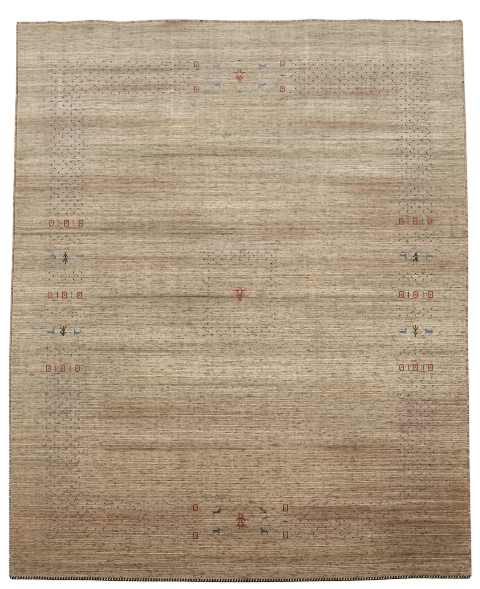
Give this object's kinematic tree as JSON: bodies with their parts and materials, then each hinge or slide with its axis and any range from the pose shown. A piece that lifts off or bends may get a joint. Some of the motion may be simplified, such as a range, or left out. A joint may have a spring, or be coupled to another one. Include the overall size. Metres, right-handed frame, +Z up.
{
  "type": "gabbeh rug",
  "caption": "Flat hand-loomed wool pile rug in beige and brown shades with overcast side cords and ends, lying pile side up on a floor.",
  "frame": {"origin": "centre of the rug's bounding box, at the bottom, on the surface that it lies on", "axes": "+Z up, out of the pile; +Y along the length, towards the top end; +X across, towards the right side cord"},
  "size_m": [2.463, 3.0274, 0.0138],
  "materials": {
    "wool_field": "knotted wool pile, heathered beige and brown",
    "wool_side_cord": "overcast wool yarn, mixed brown, cream and green",
    "wool_top_binding": "overcast wool yarn, mixed tan, pink and brown",
    "wool_bottom_binding": "overcast wool yarn, near-black with cream"
  },
  "bodies": {
    "root": {"rug_body": "wool_field", "selvedge_left": "wool_side_cord", "selvedge_right": "wool_side_cord", "end_binding_top": "wool_top_binding", "end_binding_bottom": "wool_bottom_binding"}
  },
  "joints": []
}
